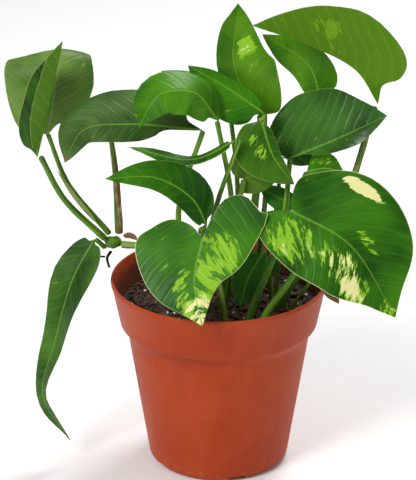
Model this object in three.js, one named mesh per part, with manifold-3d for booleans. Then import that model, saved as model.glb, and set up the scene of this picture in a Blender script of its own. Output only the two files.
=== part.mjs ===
// A potted golden pothos (Epipremnum) in a moulded plastic nursery pot.
// Millimetres, +Z up, the pot's axis is the Z axis and the pot stands on z = 0.
// The front of the plant (its fullest side) faces -Y; +X is its right-hand side.
import * as THREE from 'three';
import Module from 'manifold-3d';
import { mergeVertices } from 'three/addons/utils/BufferGeometryUtils.js';

const wasm = await Module();
wasm.setup();

// ---------------------------------------------------------------- driving dimensions
const POT_H = 97.5; // height of the pot
const RIM_R = 54; // outside radius at the rim
const BAND_R = 49.6; // outside radius at the foot of the rim band
const BAND_H = 23; // height of the rim band
const WAIST_R = 45.4; // outside radius just under the band's step
const FOOT_R = 35.6; // outside radius just above the rounded foot
const WALL = 1.3; // pot wall
const HEADSPACE = 13.5; // rim down to the potting mix at the wall
const SOIL_MOUND = 3; // how much higher the mix is at the middle
const NOTCHES = 5; // drain notches round the foot
const LEAF_T = 0.6; // thickness of a leaf blade
const GAP = 0.3; // clearance kept between neighbouring pieces
const ROOT_DEPTH = 9; // how far a stalk goes down into the mix
const BOW_AT = 0.55; // share of the way along a stalk where it bends most
const SIDES = 7; // flats round a stalk
const SEG = 48; // flats round the pot

const SOIL_Z = POT_H - HEADSPACE;
const LISTED_POT_H = 97.5; // pot height that the heights in the lists below go with
const LIFT = POT_H - LISTED_POT_H; // what they rise by with a taller pot

// ---------------------------------------------------------------- finishes
const FINISH = {
  terracotta: { color: 0xb2522a, roughness: 0.5 },
  mix: { color: 0x2a1a12, roughness: 0.95 },
  leaf: { color: 0x3f8a1c, roughness: 0.35 },
  leafDark: { color: 0x2c6a1c, roughness: 0.3 },
  leafPale: { color: 0x7aa53a, roughness: 0.4 },
  stalk: { color: 0x6f9a2e, roughness: 0.45 },
  vine: { color: 0x86a03c, roughness: 0.5 },
  husk: { color: 0xb8a878, roughness: 0.8 },
  root: { color: 0x5a3a22, roughness: 0.9 },
};

const root = new THREE.Group();
root.name = 'potted_pothos';

function addMesh(name, geometry, finish) {
  const material = new THREE.MeshStandardMaterial({ metalness: 0, ...FINISH[finish] });
  material.name = finish;
  const mesh = new THREE.Mesh(geometry, material);
  mesh.name = name;
  root.add(mesh);
  return mesh;
}

// ---------------------------------------------------------------- solids helpers
function toManifold(geometry) {
  const g = geometry.clone();
  g.deleteAttribute('normal');
  g.deleteAttribute('uv');
  const m = mergeVertices(g, 1e-4);
  return new wasm.Manifold(new wasm.Mesh({
    numProp: 3,
    vertProperties: new Float32Array(m.attributes.position.array),
    triVerts: new Uint32Array(m.index.array),
  }));
}

function toGeometry(manifold) {
  const mesh = manifold.getMesh();
  const g = new THREE.BufferGeometry();
  g.setAttribute('position', new THREE.BufferAttribute(new Float32Array(mesh.vertProperties), 3));
  g.setIndex(new THREE.BufferAttribute(new Uint32Array(mesh.triVerts), 1));
  return g;
}

function indexed(points, faces) {
  const g = new THREE.BufferGeometry();
  const flat = points.flatMap((p) => [p.x, p.y, p.z]);
  g.setAttribute('position', new THREE.Float32BufferAttribute(flat, 3));
  g.setIndex(faces.flat());
  return g;
}

// A sheet of triangles given body: both faces half a thickness off, closed round the edge.
function sheetSolid(points, faces, thickness) {
  const normals = points.map(() => new THREE.Vector3());
  const ab = new THREE.Vector3();
  const ac = new THREE.Vector3();
  for (const [a, b, c] of faces) {
    ab.subVectors(points[b], points[a]);
    ac.subVectors(points[c], points[a]);
    const n = ab.clone().cross(ac);
    [a, b, c].forEach((i) => normals[i].add(n));
  }
  const count = points.length;
  const all = [];
  for (const side of [0.5, -0.5]) {
    points.forEach((p, i) => {
      const n = normals[i].clone().normalize();
      all.push(p.clone().addScaledVector(n, side * thickness));
    });
  }
  const out = faces.map((f) => [...f]);
  const edges = new Map();
  for (const [a, b, c] of faces) {
    out.push([c + count, b + count, a + count]);
    for (const [i, j] of [[a, b], [b, c], [c, a]]) {
      const twin = `${j},${i}`;
      if (edges.has(twin)) edges.delete(twin);
      else edges.set(`${i},${j}`, [i, j]);
    }
  }
  for (const [i, j] of edges.values()) {
    out.push([j, i, i + count]);
    out.push([j, i + count, j + count]);
  }
  return indexed(all, out);
}

// A listed place, raised to suit the pot.
const placed = ([x, y, z]) => new THREE.Vector3(x, y, z + LIFT);

// A round stalk along a smooth line, its radius running from r0 to r1.
function stalkSolid(points, r0, r1, sides = SIDES, steps = 0) {
  const curve = new THREE.CatmullRomCurve3(points, false, 'centripetal');
  const n = steps || Math.max(2, Math.round(curve.getLength() / 10));
  const frames = curve.computeFrenetFrames(n, false);
  const rings = [];
  const verts = [];
  for (let i = 0; i <= n; i += 1) {
    const c = curve.getPointAt(i / n);
    const r = r0 + (r1 - r0) * (i / n);
    rings.push(verts.length);
    for (let k = 0; k < sides; k += 1) {
      const a = (2 * Math.PI * k) / sides;
      const p = c.clone();
      p.addScaledVector(frames.normals[i], r * Math.cos(a));
      p.addScaledVector(frames.binormals[i], r * Math.sin(a));
      verts.push(p);
    }
  }
  const faces = [];
  for (let i = 0; i < n; i += 1) {
    for (let k = 0; k < sides; k += 1) {
      const k2 = (k + 1) % sides;
      const [a, b] = [rings[i] + k, rings[i] + k2];
      const [c, d] = [rings[i + 1] + k, rings[i + 1] + k2];
      faces.push([a, b, d]);
      faces.push([a, d, c]);
    }
  }
  for (let k = 1; k < sides - 1; k += 1) {
    faces.push([rings[0], rings[0] + k + 1, rings[0] + k]);
    faces.push([rings[n], rings[n] + k, rings[n] + k + 1]);
  }
  return indexed(verts, faces);
}

// ---------------------------------------------------------------- leaf blades
// The margin of half a blade laid flat, from the stalk round the lobe to the tip, through
// points given as (along / length, across / half width).
function margin(points) {
  const all = [[0, 0], ...points, [1, 0]];
  return new THREE.CatmullRomCurve3(
    all.map(([x, y]) => new THREE.Vector3(x, y, 0)), false, 'centripetal');
}

// Half a blade's margin worked out from three proportions: how far its lobe reaches back
// behind the stalk (below 0 for a wedge-shaped base), where it is widest, and how broad it
// still is nearly half-way from there to the tip.
function halfMargin(lobe, wide, full) {
  const rest = 1 - wide;
  return [
    [-0.8 * lobe, 0.2], [-lobe, 0.55], [0.45 * wide - 0.4 * lobe, 0.88], [wide, 1],
    [wide + 0.45 * rest, full], [wide + 0.8 * rest, 0.45 * full],
  ];
}
const WEDGE = halfMargin(-0.1, 0.38, 0.85);

const direction = ([az, el]) => {
  const a = THREE.MathUtils.degToRad(az);
  const e = THREE.MathUtils.degToRad(el);
  return new THREE.Vector3(Math.sin(a) * Math.cos(e), -Math.cos(a) * Math.cos(e), Math.sin(e));
};

const LOBE_ROWS = 4; // vein lines that leave the base for the lobe
const ROWS = 16; // all vein lines, from midrib to margin
const ACROSS = 3; // divisions along each vein line
const LOBE_END = 0.1; // the lobe's margin ends this far along the blade

// spine: points of the midrib, base to tip; face: where the upper surface looks at the
// base and at the tip (azimuth from -Y towards +X, elevation); half: [left, right] widths;
// fold: how far each half is folded up from flat (degrees); curl: further bend to the margin.
// rows and across: vein lines and divisions along each, where a blade needs fewer.
function bladePlacer(leaf) {
  const spine = new THREE.CatmullRomCurve3(
    leaf.spine.map(placed), false, 'centripetal');
  const length = spine.getLength();
  const [f0, f1] = [direction(leaf.face[0]), direction(leaf.face[1])];
  const turns = leaf.curl || [0, 0];
  return (x, y, side) => {
    const u = Math.min(1, Math.max(0, x));
    const c = spine.getPointAt(u);
    const t = spine.getTangentAt(u);
    if (x < 0) c.addScaledVector(t, x * length);
    const f = f0.clone().lerp(f1, u).normalize();
    const n = f.addScaledVector(t, -f.dot(t)).normalize();
    const s = t.clone().cross(n).multiplyScalar(side ? 1 : -1);
    const fold = THREE.MathUtils.degToRad(leaf.fold[side]);
    const width = leaf.half[side];
    const curl = THREE.MathUtils.degToRad(turns[side]) / width;
    const reach = y * width;
    const flat = Math.abs(curl) < 1e-6;
    const a = flat ? Math.cos(fold) * reach
      : (Math.sin(fold + curl * reach) - Math.sin(fold)) / curl;
    const b = flat ? Math.sin(fold) * reach
      : (Math.cos(fold) - Math.cos(fold + curl * reach)) / curl;
    return c.addScaledVector(s, a).addScaledVector(n, b);
  };
}

function bladeSolid(leaf) {
  const place = bladePlacer(leaf);
  const across = leaf.across || ACROSS;
  const rows = leaf.rows || ROWS;
  const points = [];
  const keys = new Map();
  const vertex = (x, y, side) => {
    const key = `${Math.round(x * 1e4)},${Math.round(y * 1e4) * (side ? 1 : -1)}`;
    if (!keys.has(key)) {
      keys.set(key, points.length);
      points.push(place(x, y, side));
    }
    return keys.get(key);
  };
  const faces = [];
  [leaf.left, leaf.right].forEach((half, side) => {
    const edge = margin(half);
    const lobed = half[0][0] < 0;
    let turn = 0;
    for (let t = 0.02; lobed && t < 0.9; t += 0.01) {
      if (edge.getPointAt(t).x < LOBE_END) turn = t;
    }
    const grid = [];
    for (let i = lobed ? 0 : LOBE_ROWS; i <= rows; i += 1) {
      const q = Math.max(0, i - LOBE_ROWS) / (rows - LOBE_ROWS);
      const t = i < LOBE_ROWS ? (turn * i) / LOBE_ROWS : turn + (1 - turn) * q;
      const m = edge.getPointAt(t);
      const row = [];
      for (let j = 0; j <= across; j += 1) {
        const s = j / across;
        row.push(vertex(q + (m.x - q) * s, m.y * s, side));
      }
      grid[i] = row;
    }
    for (let i = lobed ? 1 : LOBE_ROWS; i < rows; i += 1) {
      for (let j = 0; j < across; j += 1) {
        const [a, b] = [grid[i][j], grid[i][j + 1]];
        const [c, d] = [grid[i + 1][j], grid[i + 1][j + 1]];
        for (const f of [[a, b, d], [a, d, c]]) {
          if (new Set(f).size < 3) continue;
          faces.push(side ? f : [f[0], f[2], f[1]]);
        }
      }
    }
  });
  return sheetSolid(points, faces, LEAF_T);
}

const LEAVES = {
  leaf_a: {
    spine: [[-84, 8, 170], [-79, 8, 200], [-78, 20, 210], [-82, 44, 188]],
    face: [[0, 20], [0, 80]], half: [27, 20], fold: [-4, -8],
    curl: [-14, -40], left: halfMargin(0, 0.4, 0.85), right: halfMargin(-0.1, 0.36, 0.8),
    finish: 'leafPale',
  },
  leaf_b: {
    spine: [[-88, -9, 165], [-82, -11, 190], [-75, -4, 222]],
    face: [[-90, 5], [-90, 5]], half: [16, 9], fold: [55, 55],
    left: halfMargin(-0.04, 0.3, 0.85), right: halfMargin(-0.1, 0.6, 0.9),
    across: 2,
    finish: 'leafPale',
  },
  leaf_c: {
    spine: [[-8, -12, 180], [-44, -14, 184], [-65, -17, 182], [-74, -22, 167]],
    face: [[0, 50], [-50, 50]], half: [10, 23], fold: [-10, 8], curl: [0, -30],
    left: halfMargin(-0.3, 0.68, 0.7), right: halfMargin(-0.12, 0.55, 0.8),
    finish: 'leafDark',
  },
  leaf_d: {
    spine: [[0, -16, 186], [-12, -20, 202], [-28, -26, 203], [-38, -29, 188]],
    face: [[20, 50], [-30, 30]], half: [12, 12], fold: [-14, -14],
    left: halfMargin(-0.1, 0.45, 0.85), right: halfMargin(0, 0.68, 0.9),
    finish: 'leaf',
  },
  leaf_e: {
    spine: [[5, 2, 191], [-12, 1, 201], [-28, -1, 206]],
    face: [[0, 60], [0, 60]], half: [5, 5], fold: [0, 0],
    left: WEDGE, right: WEDGE,
    finish: 'leafDark',
  },
  leaf_f: {
    spine: [[20, 12, 178], [7, 8, 206], [9, 12, 236]],
    face: [[-10, 0], [0, 0]], half: [9, 20], fold: [30, 5], curl: [0, -20],
    left: halfMargin(-0.2, 0.6, 0.9), right: halfMargin(0, 0.45, 0.7),
    finish: 'leaf',
  },
  leaf_g: {
    spine: [[22, -6, 186], [4, -3, 198], [-15, -1, 209]],
    face: [[0, 34], [0, 44]], half: [15, 6], fold: [-4, -10],
    left: halfMargin(-0.1, 0.4, 0.85), right: halfMargin(-0.1, 0.42, 0.85),
    finish: 'leaf',
  },
  leaf_h: {
    spine: [[20, -17, 187], [26, -22, 170], [36, -25, 157]],
    face: [[-10, 20], [-20, 20]], half: [4, 17], fold: [0, 0],
    left: WEDGE, right: halfMargin(0, 0.42, 0.65),
    finish: 'leaf',
  },
  leaf_j: {
    spine: [[9, -24, 180], [-12, -25, 170], [-44, -27, 177]],
    face: [[0, 68], [0, 62]], half: [4, 3], fold: [0, 0],
    left: WEDGE, right: halfMargin(-0.1, 0.6, 0.9),
    finish: 'leafPale',
  },
  leaf_i: {
    spine: [[12, -15, 156], [22, -14, 160], [31, -14, 163]],
    face: [[180, 0], [180, 0]], half: [10, 12], fold: [0, 0],
    left: halfMargin(0.2, 0.25, 0.85), right: halfMargin(0.2, 0.25, 0.85),
    finish: 'leafPale',
  },
  leaf_t: {
    spine: [[38, -8, 138], [28, -6, 143], [20, -4, 147]],
    face: [[0, 40], [0, 40]], half: [6, 6], fold: [0, 0],
    left: WEDGE, right: WEDGE,
    finish: 'leafDark',
  },
  leaf_m: {
    spine: [[-6, -39, 141], [-13, -40, 155], [-30, -41, 166], [-54, -42, 166]],
    face: [[40, 30], [-10, 40]], half: [7, 13], fold: [-10, -5],
    left: halfMargin(-0.05, 0.3, 0.85), right: halfMargin(-0.05, 0.32, 0.7),
    finish: 'leafDark',
  },
  leaf_k: {
    spine: [[-8, -42, 137], [-12, -54, 120], [-8, -68, 102]],
    face: [[0, 35], [0, 20]], half: [29, 31], fold: [4, -4],
    left: halfMargin(0.56, -0.4, 0.72), right: halfMargin(0.15, 0.22, 0.66),
    finish: 'leaf',
  },
  leaf_n: {
    spine: [[34, -34, 147], [62, -46, 134], [84, -54, 100]],
    face: [[0, 40], [20, 20]], half: [33, 27], fold: [0, 0],
    left: halfMargin(0.06, 0.36, 0.8), right: halfMargin(0.15, 0.25, 0.9),
    finish: 'leaf',
  },
  leaf_l: {
    spine: [[-62, 2, 117], [-73, -5, 98], [-82, -12, 68], [-89, -14, 38], [-76, -12, 12]],
    face: [[-40, 30], [-40, 20]], half: [16, 12], fold: [20, 10],
    left: halfMargin(-0.02, 0.12, 0.45), right: halfMargin(-0.02, 0.18, 0.55),
    finish: 'leafDark',
  },
  leaf_p: {
    spine: [[77, 6, 187], [66, 3, 205], [45, 0, 218], [16, -4, 230]],
    face: [[90, 20], [90, 85]], half: [35, 16], fold: [60, 60],
    left: halfMargin(-0.15, 0.46, 0.82), right: WEDGE,
    finish: 'leafPale',
  },
  leaf_q: {
    spine: [[50, 16, 184], [44, 19, 202], [21, 20, 218]],
    face: [[0, 0], [0, 20]], half: [9, 11], fold: [0, 0],
    left: halfMargin(-0.08, 0.4, 0.9), right: halfMargin(-0.1, 0.25, 0.75),
    finish: 'leaf',
  },
  leaf_r: {
    spine: [[34, -8, 164], [58, -14, 177], [80, -18, 190]],
    face: [[0, 50], [0, 50]], half: [32, 7], fold: [0, 0],
    left: halfMargin(0.15, 0.2, 0.85), right: halfMargin(-0.25, 0.65, 0.7),
    finish: 'leafDark',
  },
  leaf_s: {
    spine: [[31, 4, 160], [44, 4, 162], [56, 4, 161]],
    face: [[0, 58], [0, 58]], half: [7, 7], fold: [0, 0],
    left: WEDGE, right: WEDGE,
    finish: 'leafDark',
  },
  leaf_v: {
    spine: [[42, -13, 159], [51, -14, 161], [60, -15, 160]],
    face: [[0, 56], [0, 56]], half: [9, 9], fold: [0, 0],
    left: WEDGE, right: WEDGE,
    finish: 'leafDark',
  },
  leaf_u: {
    spine: [[-54, 12, 175], [-55, 34, 174], [-56, 56, 165]],
    face: [[0, 80], [180, 60]], half: [13, 13], fold: [0, 0],
    left: WEDGE, right: WEDGE,
    finish: 'leafDark',
  },
  leaf_w: {
    spine: [[22, -11, 116], [14, -20, 105], [10, -31, 95]],
    face: [[0, 40], [0, 40]], half: [7, 8], fold: [0, 0],
    left: WEDGE, right: WEDGE,
    finish: 'leafDark',
  },
  leaf_x: {
    spine: [[48, -30, 113], [54, -36, 106], [58, -38, 100]],
    face: [[0, 30], [0, 30]], half: [4, 4], fold: [0, 0],
    left: WEDGE, right: WEDGE,
    finish: 'husk',
  },
};

for (const [name, leaf] of Object.entries(LEAVES)) {
  addMesh(name, bladeSolid(leaf), leaf.finish);
}

// ---------------------------------------------------------------- stalks and stems
// at: middle of the swelling where stalks join; r: its half sizes along X, Y and Z.
const NODES = {
  node_left: { at: [-53, 10, 112], r: [4.6, 3.4, 3.4] },
  node_mid: { at: [-8, -35, 137], r: [2.2, 2.2, 2.2] },
};

// foot: where it comes out of the mix (x, y); from: the node that it springs from; start: where
// it begins beside a node that several share; leaf or to: what it ends at; r: radius at each
// end; bow: how far it bends off the straight line a little past its middle.
const STALKS = {
  stalk_a: { start: [-55, 12, 116], leaf: 'leaf_a', r: [1.6, 1.1], bow: [-4, 0, -2] },
  stalk_b: { start: [-57, 8, 115], leaf: 'leaf_b', r: [1.8, 1.4], bow: [-3, 1, -3] },
  stalk_u: { start: [-50, 12, 116], leaf: 'leaf_u', r: [2.2, 1.2], bow: [1, 0, 0] },
  stalk_l: { start: [-57, 6, 111], leaf: 'leaf_l', r: [1.3, 1], bow: [0, 0, 0] },
  stalk_c: { foot: [-12, -8], leaf: 'leaf_c', r: [1.9, 1.2], bow: [-10, -3, 0] },
  stalk_d: { foot: [4, -4], leaf: 'leaf_d', r: [1.8, 1.2], bow: [5, 0, 0] },
  stalk_e: { foot: [8, 10], leaf: 'leaf_e', r: [1.6, 1.1], bow: [3, 3, 0] },
  stalk_f: { foot: [14, 18], leaf: 'leaf_f', r: [1.8, 1.2], bow: [2, 2, 0] },
  stalk_g: { foot: [18, 6], leaf: 'leaf_g', r: [1.7, 1.1], bow: [3, 7, 0] },
  stalk_h: { foot: [10, -8], leaf: 'leaf_h', r: [1.7, 1.1], bow: [2, 12, 0] },
  stalk_j: { foot: [-5, -14], leaf: 'leaf_j', r: [1.8, 1], bow: [-6, -3, 0] },
  stalk_i: { foot: [0, -12], leaf: 'leaf_i', r: [1.6, 1.2], bow: [0, -6, 0] },
  stalk_t: { foot: [33, 0], leaf: 'leaf_t', r: [1.5, 1], bow: [4, 0, 0] },
  stem_mid: { foot: [3, -36], to: 'node_mid', r: [2, 1.7], bow: [2, 0, 0] },
  stalk_k: { from: 'node_mid', leaf: 'leaf_k', r: [1.1, 1], bow: [0, 0, 0] },
  stalk_m: { from: 'node_mid', leaf: 'leaf_m', r: [1.1, 1], bow: [0, 0, 0] },
  stalk_n: { foot: [21, -32], leaf: 'leaf_n', r: [2.1, 1.4], bow: [12, 5, 0] },
  stalk_p: { foot: [31, -10], leaf: 'leaf_p', r: [2.3, 1.5], bow: [5, 0, -5] },
  stalk_q: { foot: [25, 18], leaf: 'leaf_q', r: [1.7, 1.2], bow: [5, 1, 0] },
  stalk_r: { foot: [14, -32], leaf: 'leaf_r', r: [2.2, 1.2], bow: [5, 0, 0] },
  stalk_s: { foot: [22, 12], leaf: 'leaf_s', r: [1.4, 1], bow: [1, 0, 0] },
  stalk_v: { foot: [28, -4], leaf: 'leaf_v', r: [1.4, 1], bow: [-3, 14, 0] },
  stalk_w: { foot: [26, -8], leaf: 'leaf_w', r: [1.2, 0.9], bow: [1, 0, 0] },
  stalk_x: { foot: [35, -20], leaf: 'leaf_x', r: [1.1, 0.8], bow: [0, 3, 0] },
  vine_left: { foot: [-7, -4], to: 'node_left', r: [2, 1.8], bow: [0, 0, 10] },
};

// Papery sheaths beside the stalks, and a dry scale at the left-hand node.
const STRIP_ROWS = 9; // vein lines of a strip, which has one division across each half
const strip = (spine, face, half) => ({
  spine, face: [face, face], half: [half, half], fold: [-20, -20], left: WEDGE, right: WEDGE,
  rows: STRIP_ROWS, across: 1,
});
const SHEATHS = {
  sheath_a: strip([[-60, 8, 122], [-71, 5, 138], [-80, 5, 153]], [-30, 20], 1.4),
  sheath_u: strip([[-48, 7, 118], [-50, 8, 137], [-52, 9, 158]], [0, 10], 1.2),
  sheath_p: strip([[65, -5, 152], [70, -3, 167], [74, 0, 181]], [-30, 10], 1.5),
  dry_scale: strip([[-48, 4, 118], [-44, 3, 119], [-40, 1, 117]], [0, 50], 1.7),
};

const ROOTS = {
  aerial_root: { via: [[-54, 9, 107.4], [-56, 9, 104], [-55, 8, 99]], r: [0.8, 0.5] },
  rootlet: { via: [[-57, 8, 105], [-60, 6, 106]], r: [0.5, 0.35] },
};

// Where a stalk ends under a blade: a little behind and below the blade's base point.
function seat(leaf, radius) {
  const place = bladePlacer(leaf);
  const base = place(0, 0, 1);
  const along = place(0.02, 0, 1).sub(base).normalize();
  const across = place(0, 0.05, 1).sub(place(0, 0.05, 0)).normalize();
  const up = across.clone().cross(along).normalize();
  return base.addScaledVector(along, -GAP).addScaledVector(up, -(LEAF_T / 2 + GAP + radius * 0.9));
}

const nodeRadius = ({ r }, way) => 1 / Math.hypot(way.x / r[0], way.y / r[1], way.z / r[2]);

function stalkPath(stalk) {
  const bow = new THREE.Vector3(...stalk.bow);
  const end = stalk.leaf ? seat(LEAVES[stalk.leaf], stalk.r[1])
    : placed(NODES[stalk.to].at);
  const path = [];
  if (stalk.foot) {
    const [x, y] = stalk.foot;
    path.push(new THREE.Vector3(x, y, SOIL_Z - ROOT_DEPTH));
    path.push(new THREE.Vector3(x, y, SOIL_Z + SOIL_MOUND));
  } else if (stalk.from) {
    const node = NODES[stalk.from];
    const middle = placed(node.at);
    const way = end.clone().sub(middle).normalize();
    path.push(middle.addScaledVector(way, nodeRadius(node, way) + GAP));
  } else {
    path.push(placed(stalk.start));
  }
  const bend = path[path.length - 1].clone().lerp(end, BOW_AT).add(bow);
  if (stalk.to) {
    const way = end.clone().sub(bend).normalize();
    end.addScaledVector(way, -(nodeRadius(NODES[stalk.to], way) + GAP));
  }
  path.push(bend, end);
  return path;
}

for (const [name, stalk] of Object.entries(STALKS)) {
  addMesh(name, stalkSolid(stalkPath(stalk), ...stalk.r), name.startsWith('stalk') ? 'stalk' : 'vine');
}
for (const [name, node] of Object.entries(NODES)) {
  const ball = new THREE.SphereGeometry(1, 10, 8);
  ball.scale(...node.r);
  ball.translate(...placed(node.at));
  addMesh(name, toGeometry(toManifold(ball)), 'vine');
}
for (const [name, strip] of Object.entries(SHEATHS)) {
  addMesh(name, bladeSolid(strip), 'husk');
}
for (const [name, thread] of Object.entries(ROOTS)) {
  const points = thread.via.map(placed);
  addMesh(name, stalkSolid(points, ...thread.r, 5, 4), 'root');
}

// ---------------------------------------------------------------- pot
function lathe(profile, segments = SEG) {
  const pts = profile.map(([r, z]) => new THREE.Vector2(r, z));
  const g = new THREE.LatheGeometry(pts, segments);
  g.rotateX(Math.PI / 2);
  return toManifold(g);
}

function potSolid() {
  const wallBelow = POT_H - BAND_H;
  const outer = [
    [0, 0], [FOOT_R - 4.6, 0], [FOOT_R - 1.6, 1.4], [FOOT_R, 4.6],
    [WAIST_R, wallBelow - 5], [BAND_R - 1.2, wallBelow - 0.8], [BAND_R, wallBelow + 0.8],
    [RIM_R - 0.5, POT_H - 2.2], [RIM_R, POT_H - 1.6], [RIM_R, POT_H - 0.4], [RIM_R - 0.5, POT_H],
    [0, POT_H],
  ];
  const inner = [
    [0, 4.2], [FOOT_R - 5, 4.2], [FOOT_R - WALL, 7],
    [WAIST_R - WALL, wallBelow - 5], [BAND_R - WALL, wallBelow + 1.6],
    [RIM_R - WALL - 0.4, POT_H + 1], [0, POT_H + 1],
  ];
  let pot = lathe(outer).subtract(lathe(inner));
  // raised channel under the floor, between the middle pad and the foot ring
  const channel = [[14, -1], [FOOT_R - 8, -1], [FOOT_R - 8.6, 2.6], [14.6, 2.6], [14, -1]];
  pot = pot.subtract(lathe(channel));
  for (let k = 0; k < NOTCHES; k += 1) {
    const angle = THREE.MathUtils.degToRad(-75 + (360 / NOTCHES) * k);
    const notch = new THREE.BoxGeometry(12, 8.4, 5.6);
    notch.translate(FOOT_R - 3.4, 0, 0);
    notch.rotateZ(angle);
    pot = pot.subtract(toManifold(notch));
    const hole = new THREE.CylinderGeometry(2.6, 2.6, 10, 16);
    hole.rotateX(Math.PI / 2);
    hole.translate(21, 0, 3);
    hole.rotateZ(angle + Math.PI / NOTCHES);
    pot = pot.subtract(toManifold(hole));
  }
  return pot;
}
addMesh('pot', toGeometry(potSolid()), 'terracotta');

const soilProfile = () => {
  const wallBelow = POT_H - BAND_H;
  const slope = (RIM_R - BAND_R) / (BAND_H - 0.8);
  const top = BAND_R - WALL + (SOIL_Z - wallBelow - 1.6) * slope - GAP - 0.5;
  return [
    [0, 4.2 + GAP], [FOOT_R - 5 - GAP, 4.2 + GAP], [FOOT_R - WALL - GAP, 7 + GAP],
    [WAIST_R - WALL - GAP - 0.1, wallBelow - 5], [BAND_R - WALL - GAP - 0.4, wallBelow + 1.6],
    [top, SOIL_Z], [top * 0.8, SOIL_Z + SOIL_MOUND * 0.4], [top * 0.4, SOIL_Z + SOIL_MOUND],
    [0, SOIL_Z + SOIL_MOUND],
  ];
};
let soil = lathe(soilProfile(), 36);
for (const stalk of Object.values(STALKS)) {
  if (!stalk.foot) continue;
  const path = stalkPath(stalk);
  path[0].z -= GAP;
  const hole = stalkSolid(path, ...stalk.r.map((r) => r * 1.08 + GAP));
  soil = soil.subtract(toManifold(hole));
}
addMesh('potting_mix', toGeometry(soil), 'mix');

export default root;
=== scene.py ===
"""A bushy pothos with variegated heart-shaped leaves, potted in a terracotta-coloured nursery pot.

Lengths in the tables are millimetres in the part's own frame (+Z up, the pot's axis is Z, the
front is -Y); meshes are made in metres. Every piece is seated in the box of the solid it stands for.
"""

import logging
import math
import random
from dataclasses import dataclass, field, replace
from enum import Enum
from typing import Any, Iterable, Sequence

import bmesh
import bpy
import numpy as np
from mathutils import Matrix, Vector, noise

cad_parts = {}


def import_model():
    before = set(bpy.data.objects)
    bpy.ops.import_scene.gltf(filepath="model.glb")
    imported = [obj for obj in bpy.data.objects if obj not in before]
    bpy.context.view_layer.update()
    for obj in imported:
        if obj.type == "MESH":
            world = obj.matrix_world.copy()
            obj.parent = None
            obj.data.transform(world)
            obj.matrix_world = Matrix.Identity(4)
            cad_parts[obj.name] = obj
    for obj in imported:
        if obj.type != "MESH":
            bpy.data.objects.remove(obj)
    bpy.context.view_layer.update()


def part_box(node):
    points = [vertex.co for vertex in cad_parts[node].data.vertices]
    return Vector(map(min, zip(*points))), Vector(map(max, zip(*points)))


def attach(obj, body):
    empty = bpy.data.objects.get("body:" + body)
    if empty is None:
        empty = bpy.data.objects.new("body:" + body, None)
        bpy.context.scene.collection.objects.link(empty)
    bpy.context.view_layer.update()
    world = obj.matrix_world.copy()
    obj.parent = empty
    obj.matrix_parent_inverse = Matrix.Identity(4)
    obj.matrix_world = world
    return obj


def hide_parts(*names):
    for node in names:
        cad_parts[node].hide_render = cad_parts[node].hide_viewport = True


MM = 0.001
BODY = "root"
SEED = 11
LOG = logging.getLogger("pothos")
VEIN_SWEEP = 0.75  # how far a side vein runs towards the tip for each millimetre outwards
VEIN_BEND = 0.006  # how much more it does so further out, for each millimetre squared

Colour = tuple[float, float, float]
Point = tuple[float, float, float]


def srgb(red: int, green: int, blue: int) -> Colour:
    """Returns a display colour (0 to 255) as linear light."""
    parts = [c / 255 for c in (red, green, blue)]
    return tuple(c / 12.92 if c < 0.04045 else ((c + 0.055) / 1.055) ** 2.4 for c in parts)


# ------------------------------------------------------------------------------ shader graphs
@dataclass(frozen=True)
class Wire:
    """One output socket of a shader graph, with arithmetic on its value."""

    graph: "Graph"
    socket: Any

    def _math(self, operation: str, first: Any, second: Any = 0.0) -> "Wire":
        """Returns one Math node on two values."""
        return self.graph.node("ShaderNodeMath", {"operation": operation}, {0: first, 1: second})

    def __add__(self, other: Any) -> "Wire":
        """Returns the sum."""
        return self._math("ADD", self, other)

    def __radd__(self, other: Any) -> "Wire":
        """Returns the sum."""
        return self._math("ADD", other, self)

    def __sub__(self, other: Any) -> "Wire":
        """Returns the difference."""
        return self._math("SUBTRACT", self, other)

    def __rsub__(self, other: Any) -> "Wire":
        """Returns the difference, this one taken away."""
        return self._math("SUBTRACT", other, self)

    def __mul__(self, other: Any) -> "Wire":
        """Returns the product."""
        return self._math("MULTIPLY", self, other)

    def __rmul__(self, other: Any) -> "Wire":
        """Returns the product."""
        return self._math("MULTIPLY", other, self)

    def __truediv__(self, other: Any) -> "Wire":
        """Returns the quotient."""
        return self._math("DIVIDE", self, other)

    def __abs__(self) -> "Wire":
        """Returns the size without its sign."""
        return self._math("ABSOLUTE", self)

    def triangle(self, half: float) -> "Wire":
        """Returns a wave that climbs from 0 to 1 and back over twice the half length."""
        return self._math("PINGPONG", self, half) / half

    def step(self, low: float, high: float) -> "Wire":
        """Returns 0 below low, 1 above high and a smooth rise between them."""
        settings = {"interpolation_type": "SMOOTHSTEP"}
        values = {"Value": self, "From Min": low, "From Max": high, "To Min": 0.0, "To Max": 1.0}
        return self.graph.node("ShaderNodeMapRange", settings, values)


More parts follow.
